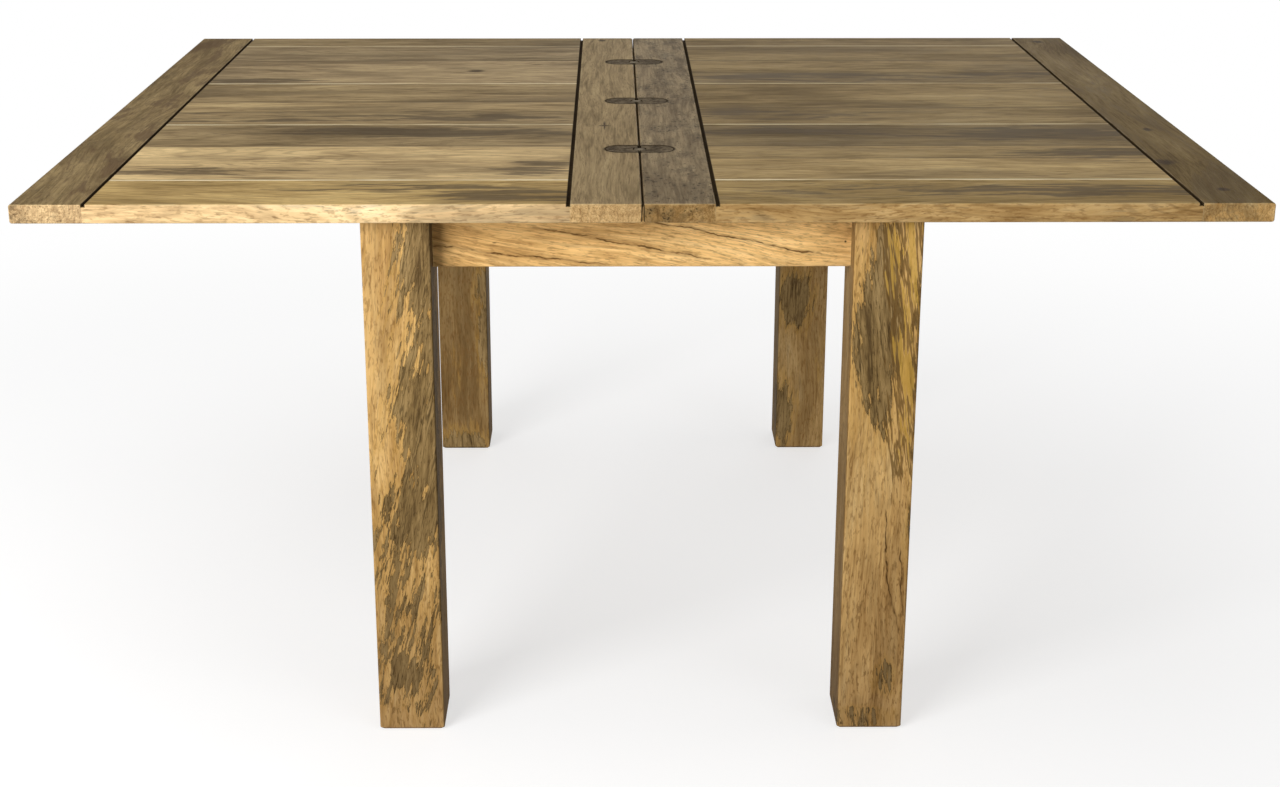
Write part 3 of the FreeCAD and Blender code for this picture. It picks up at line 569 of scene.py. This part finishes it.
def pressed_felt(name):
    """Brown felt, matted and fluffy at its rim."""
    felt = Finish(name)
    hair = felt.noise(felt.place, (900.0, 900.0, 900.0), rough=0.7, twist=0.8)
    mat = felt.noise(felt.place, (130.0, 130.0, 130.0))
    blend = felt.sum("MULTIPLY_ADD", hair, 0.6, felt.times(mat, 0.4))
    wool = felt.ladder(felt.scale(blend, 0.35, 0.65), [
        (0.0, shade(58, 48, 38)),
        (1.0, shade(104, 88, 70)),
    ])
    felt.put(wool, felt.shader.inputs["Base Color"])
    felt.shader.inputs["Roughness"].default_value = 0.95
    felt.shader.inputs["Sheen Weight"].default_value = 0.3
    felt.relief(hair, 0.8, 0.0008)
    return felt.material


def dress(node, material):
    """Gives a piece one finish all over."""
    mesh = nodes[node].data
    mesh.materials.clear()
    mesh.materials.append(material)


def on_top(spots, depth):
    """Egg shapes on the upper face, each given by its place, length and width."""
    return [(Vector((x, y, top_level)), (long, wide, depth)) for x, y, long, wide in spots]


def dress_board(name, grain, seed, lift, gold=1.0, pale=0.0, grey=0.0, calm=1.0, joints=(),
                smoke=0.4, smoke_shade=board_smoke, run=smoke_run, drifts=(), knots=(),
                specks=0.0, seam=0.0, end=0.75):
    """One board of a leaf: golden at its edges; on top browner from weathering and greyed by a painted
    sheen.
    """
    wood = Timber(name, grain, seed, 1.1 * calm, joints, lines=1.0)
    wood.golden(gold, pale)
    wood.flecked(0.5)
    # The upper face, with a painted sheen that greys it
    wood.weathered_and_sheen(lift, grey, joints)
    wood.smoke(smoke, smoke_shade, on_top(drifts, stain_depth), run)
    wood.plain_underside()
    if specks:
        wood.speckled(specks)
    if knots:
        wood.knotted(on_top(knots, knot_depth))
    wood.ringed(0.3 * calm)
    wood.pores()
    wood.end_grain(end)
    wood.rubbed(0.35)
    if seam:
        wood.pale_seam(seam)
    # Dust and painted shade in the hollows of the top
    wood.dust_and_shade_in_hollows("hinge" in name)
    dress(name, wood.waxed())


# Boards of the left leaf, from its front rail to its back rail, then its two stiles. Their lifts are partly
# the boards' own tone and partly painted light: the left leaf is made paler for the lamps' fall-off from
# left to right
# Painted highlight: the left front rail is given a paler, brighter gold for the strong light on the left
# front edge
dress_board("left_front_rail", "x", seed=1.3, lift=1.52, gold=1.36, pale=0.7, grey=-0.8,
            drifts=((-0.27, -0.525, 0.19, 0.022), (-0.15, -0.545, 0.13, 0.035)))
dress_board("left_field_front", "x", seed=2.9, lift=2.05, seam=1.0, smoke=0.3,
            joints=((-0.28, 0.56),),
            drifts=((-0.61, -0.43, 0.11, 0.020), (-0.14, -0.41, 0.05, 0.035),
                    (-0.35, -0.19, 0.26, 0.035)))
dress_board("left_field_middle", "x", seed=4.1, lift=1.20, seam=0.75, smoke=0.4,
            joints=((-0.05, 1.25), (0.025, 0.80)),
            drifts=((-0.36, -0.085, 0.32, 0.035),))
dress_board("left_field_back", "x", seed=5.7, lift=1.50, grey=0.3, seam=0.8, smoke=0.4,
            joints=((0.372, 0.74),),
            drifts=((-0.62, 0.20, 0.08, 0.02),),
            knots=((-0.60, 0.168, 0.020, 0.007), (-0.27, 0.28, 0.012, 0.009)))
dress_board("left_back_rail", "x", seed=6.6, lift=0.98, seam=0.55, smoke=0.25)
# Painted highlight: the left outer stile is given a paler gold for the strong light on the front left
# corner
dress_board("left_outer_stile", "y", seed=13.1, lift=0.89, gold=1.18, pale=0.9, grey=-0.3,
            smoke=0.75, smoke_shade=(86, 64, 41), run=(5.0, 15.0, 15.0), specks=0.35, end=0.95)
dress_board("left_hinge_stile", "y", seed=14.6, lift=1.10, gold=1.12, pale=0.4, calm=0.45,
            smoke=0.10, end=0.95,
            knots=((-0.050, -0.148, 0.0062, 0.0035), (-0.050, -0.148, 0.0014, 0.0240),
                   (-0.057, 0.575, 0.006, 0.008)))

# Boards of the right leaf, in the same order. Their lifts are partly the boards' own tone and partly
# painted shade: the right leaf is made darker for the lamps' fall-off from left to right
dress_board("right_front_rail", "x", seed=7.2, lift=1.03, gold=1.01, grey=-1.0,
            drifts=((0.50, -0.53, 0.26, 0.035),))
dress_board("right_field_front", "x", seed=8.8, lift=1.32, grey=-0.5, seam=1.0, smoke=0.3,
            joints=((-0.355, 0.82), (-0.28, 0.63)),
            drifts=((0.58, -0.205, 0.18, 0.045), (0.63, -0.33, 0.11, 0.030),
                    (0.25, -0.19, 0.18, 0.030)))
dress_board("right_field_middle", "x", seed=9.4, lift=0.84, grey=-0.6, seam=0.65, smoke=0.4,
            joints=((-0.02, 1.12),),
            drifts=((0.19, -0.07, 0.12, 0.045),))
dress_board("right_field_back", "x", seed=10.9, lift=0.68, grey=-0.6, seam=0.55, smoke=0.35,
            joints=((0.26, 1.30), (0.372, 0.94)),
            drifts=((0.36, 0.215, 0.28, 0.035), (0.62, 0.25, 0.10, 0.03)))
dress_board("right_back_rail", "x", seed=12.3, lift=0.91, grey=-0.5, seam=0.5, smoke=0.2)
dress_board("right_outer_stile", "y", seed=17.4, lift=0.41, gold=1.33, grey=-1.6,
            smoke=0.4, smoke_shade=(60, 48, 32), end=0.9,
            knots=((0.719, -0.381, 0.013, 0.012), (0.751, -0.178, 0.006, 0.010),
                   (0.746, 0.557, 0.008, 0.010), (0.756, -0.531, 0.007, 0.007)))
dress_board("right_hinge_stile", "y", seed=15.8, lift=0.91, gold=1.03, grey=0.4, calm=0.6,
            smoke=0.3, specks=1.0)


def dress_leg(name, seed, gold, slant, loose, patches, stripes=(), flames=(), shakes=(),
              fray=1.0, shaded_foot=True):
    """One leg: its marks are given on the front face, by shares of its width and its height."""
    left = -frame_half if name.endswith("left") else frame_half - leg_side
    face = front_face if "front" in name else back_face

    def marks(spots):
        found = []
        for across, down, width, length in spots:
            centre = Vector((left + leg_side * across, face, leg_top * (1.0 - down)))
            found.append((centre, (leg_side * width, leg_mark_depth, leg_top * length)))
        return found

    wood = Timber(name, "z", seed)
    wood.golden(gold)
    wood.smoke(0.15, frame_smoke)
    wood.flecked(0.6)
    wood.spalted(marks(patches), marks(stripes), slant, loose, fray)
    if flames:
        wood.flamed(marks(flames), slant)
    if shakes:
        wood.shaken(shakes, upright=True)
    wood.ringed(0.14)
    # Painted shade towards the floor, on the legs that take it
    if shaded_foot:
        wood.shade_towards_foot()
    # Painted shade on the side of the leg that faces inward
    wood.shade_inner_side(0.42)
    wood.pores()
    wood.end_grain(0.75)
    wood.rubbed(0.2)
    dress(name, wood.waxed())


# The front legs carry the strongest marks
dress_leg("leg_front_left", seed=21.0, gold=1.52, slant=-13, loose=0.35, fray=1.25,
          patches=((0.92, 0.075, 0.40, 0.155), (0.90, 0.10, 0.26, 0.12), (0.98, 0.24, 0.20, 0.09),
                   (0.84, 0.365, 0.44, 0.12), (0.94, 0.47, 0.26, 0.09), (0.76, 0.565, 0.54, 0.085),
                   (0.42, 0.885, 0.26, 0.045)),
          stripes=((0.45, 0.71, 0.55, 0.12), (0.38, 0.86, 0.44, 0.09)))
dress_leg("leg_front_right", seed=23.5, gold=1.52, slant=7, loose=0.25, fray=0.75,
          patches=((0.41, 0.22, 0.35, 0.165), (0.48, 0.09, 0.22, 0.08)),
          stripes=((1.04, 0.28, 0.17, 0.17), (0.35, 0.975, 0.40, 0.018), (0.68, 0.895, 0.14, 0.030),
                   (1.02, 0.62, 0.10, 0.06)),
          flames=((0.80, 0.07, 0.26, 0.07), (0.81, 0.24, 0.19, 0.12)),
          shakes=((0.335, 0.330, 0.228, 0.334), (0.240, 0.333, 0.140, 0.356),
                  (0.275, 0.352, 0.170, 0.360)))
# Painted shade: the back legs are given a darker gold, for the shade under the top and their distance from
# the lamps
dress_leg("leg_back_left", seed=26.2, gold=0.65, slant=5, loose=0.4, shaded_foot=False,
          patches=((0.95, 0.57, 0.18, 0.04), (1.00, 0.70, 0.16, 0.10), (0.50, 1.00, 0.50, 0.045)))
dress_leg("leg_back_right", seed=28.9, gold=0.92, slant=-6, loose=0.35, shaded_foot=False,
          patches=((0.36, 0.60, 0.28, 0.065), (0.06, 0.90, 0.24, 0.08)))


def dress_rail(name, grain, seed, gold, smoke, cracks=0.0, lean=0.0, shakes=(), knots=()):
    """Aprons and the pieces beneath the top: plain golden wood."""
    wood = Timber(name, grain, seed, lean=lean)
    wood.golden(gold)
    wood.smoke(smoke, frame_smoke)
    if cracks:
        wood.cracked(cracks)
    if shakes:
        wood.shaken(shakes)
    if knots:
        face = wood.low.y
        wood.knotted([(Vector((x, face, z)), (long, apron_knot_depth, wide)) for x, z, long, wide in knots])
    wood.flecked(0.35)
    wood.ringed(0.2)
    wood.pores()
    wood.end_grain(0.75)
    wood.rubbed(0.3)
    dress(name, wood.waxed())


# Aprons; the front apron's bright gold is partly painted light, lifting it out of the shadow of the top's
# overhang
dress_rail("apron_front", "x", seed=31.0, gold=1.78, smoke=0.15, lean=-9.0,
           shakes=((-0.29, 0.696, -0.03, 0.667), (-0.15, 0.722, 0.10, 0.675),
                   (-0.01, 0.733, 0.26, 0.677)),
           knots=((-0.193, 0.699, 0.0030, 0.0008), (0.266, 0.700, 0.0012, 0.0012)))
dress_rail("apron_back", "x", seed=33.7, gold=0.95, smoke=0.3, cracks=0.6)
dress_rail("apron_left", "y", seed=35.2, gold=0.95, smoke=0.35, cracks=0.6)
dress_rail("apron_right", "y", seed=37.9, gold=0.92, smoke=0.4, cracks=0.6)

# Rails, battens and blocks inside the frame
inner_seed = 40.0
for row in ("front", "back"):
    inner_pieces = (("guide_rail_" + row, "x"), ("slide_batten_" + row, "x"),
                    ("corner_block_" + row + "_left", "z"), ("corner_block_" + row + "_right", "z"))
    for place, (piece, grain) in enumerate(inner_pieces):
        dress_rail(piece, grain, seed=inner_seed + 1.7 * place, gold=0.9, smoke=0.25)
    inner_seed = inner_seed + 6.8

# Metal and felt
plate_iron = bronzed_iron("plate_iron", shade(106, 92, 70), shade(43, 34, 22))
link_iron = bronzed_iron("link_iron", shade(130, 119, 100), shade(78, 69, 55))
zinc = zinc_plate("zinc")
felt = pressed_felt("felt")
zinc_parts = ("leg_bolts", "leg_washers", "leg_nuts", "corner_block_screws", "slide_batten_screws")
for part in nodes:
    if "hinge_plate" in part or "hinge_screws" in part:
        dress(part, plate_iron)
    elif "hinge_link" in part or "hinge_pins" in part:
        dress(part, link_iron)
    elif part in zinc_parts:
        dress(part, zinc)
    elif part == "glide_pads":
        dress(part, felt)


def seen_rays(tree):
    """One for rays that show the background: straight, mirrored or passed through."""
    path = tree.nodes.new("ShaderNodeLightPath")
    found = path.outputs["Is Camera Ray"]
    for kind in ("Is Glossy Ray", "Is Transmission Ray"):
        larger = tree.nodes.new("ShaderNodeMath")
        larger.operation = "MAXIMUM"
        tree.links.new(found, larger.inputs[0])
        tree.links.new(path.outputs[kind], larger.inputs[1])
        found = larger.outputs[0]
    return found


def pale_floor(grey=0.46, glow_strength=0.62, white_from=1.0, white_at=2.6):
    """A pale floor that keeps a soft shadow near the table and is white farther off."""
    floor = Finish("pale_floor")
    tree = floor.tree
    seen = seen_rays(tree)
    floor.shader.inputs["Base Color"].default_value = (grey, grey, grey, 1.0)
    floor.shader.inputs["Roughness"].default_value = 0.9
    floor.shader.inputs["Specular IOR Level"].default_value = 0.0
    glow = floor.add("ShaderNodeEmission")
    floor.put(floor.times(seen, glow_strength), glow.inputs["Strength"])
    near = floor.add("ShaderNodeAddShader")
    tree.links.new(floor.shader.outputs[0], near.inputs[0])
    tree.links.new(glow.outputs[0], near.inputs[1])
    white = floor.add("ShaderNodeEmission")
    floor.put(seen, white.inputs["Strength"])
    both = floor.add("ShaderNodeMixShader")
    away = floor.vector("LENGTH", floor.place)
    floor.put(floor.ease(away, white_from, white_at), both.inputs[0])
    tree.links.new(near.outputs[0], both.inputs[1])
    tree.links.new(white.outputs[0], both.inputs[2])
    tree.links.new(both.outputs[0], tree.nodes["Material Output"].inputs["Surface"])
    return floor.material


def lay_floor(reach=60.0):
    mesh = bpy.data.meshes.new("studio_floor")
    shape = bmesh.new()
    bmesh.ops.create_grid(shape, x_segments=2, y_segments=2, size=reach)
    shape.to_mesh(mesh)
    shape.free()
    floor = bpy.data.objects.new("studio_floor", mesh)
    bpy.context.scene.collection.objects.link(floor)
    mesh.materials.append(pale_floor())


lay_floor()


def softbox(name, place, aim, power, width, height):
    """A soft rectangular lamp that looks at a point."""
    lamp = bpy.data.lights.new(name, "AREA")
    lamp.shape = "RECTANGLE"
    lamp.size = width
    lamp.size_y = height
    lamp.energy = power
    box = bpy.data.objects.new(name, lamp)
    box.location = place
    box.rotation_euler = (Vector(aim) - Vector(place)).to_track_quat("-Z", "Y").to_euler()
    bpy.context.scene.collection.objects.link(box)


# Studio light: a broad source at the left front, weaker ones at the right front, above, behind and beside
softbox("key_light", (-2.0, -2.7, 1.35), aim=(0.0, -0.3, 0.55), power=100.0, width=1.8, height=1.8)
softbox("fill_light", (2.8, -3.0, 1.5), aim=(0.0, -0.2, 0.5), power=22.0, width=2.2, height=2.2)
softbox("top_light", (-0.5, 0.1, 3.4), aim=(-0.1, 0.0, 0.7), power=32.0, width=3.0, height=3.0)
softbox("back_light", (1.0, 3.6, 0.80), aim=(0.0, 0.0, 0.45), power=36.0, width=2.6, height=1.3)
softbox("side_light", (3.6, 0.4, 0.75), aim=(0.0, 0.2, 0.45), power=16.0, width=2.2, height=1.2)

# The room is white to the eye and lights the table weakly from all sides
room_light = 0.26
world = bpy.data.worlds.new("studio")
bpy.context.scene.world = world
world.use_nodes = True
sky = world.node_tree.nodes["Background"]
sky.inputs["Color"].default_value = (1.0, 1.0, 1.0, 1.0)
brightness = world.node_tree.nodes.new("ShaderNodeMapRange")
world.node_tree.links.new(seen_rays(world.node_tree), brightness.inputs["Value"])
brightness.inputs["To Min"].default_value = room_light
brightness.inputs["To Max"].default_value = 1.0
world.node_tree.links.new(brightness.outputs[0], sky.inputs["Strength"])

# The camera stands before the table, above its top, and looks down on it
downward_tilt = 16.785
sideways_turn = -0.303
camera = bpy.data.cameras.new("camera")
camera.lens = 53.385
camera.sensor_width = 36.0
camera.shift_x = 0.0146
camera.shift_y = -0.10
viewer = bpy.data.objects.new("camera", camera)
viewer.location = (-0.0396, -2.913, 1.3866)
viewer.rotation_euler = (math.radians(90.0 - downward_tilt), 0.0, math.radians(sideways_turn))
bpy.context.scene.collection.objects.link(viewer)
bpy.context.scene.camera = viewer
bpy.context.scene.view_settings.view_transform = "Standard"
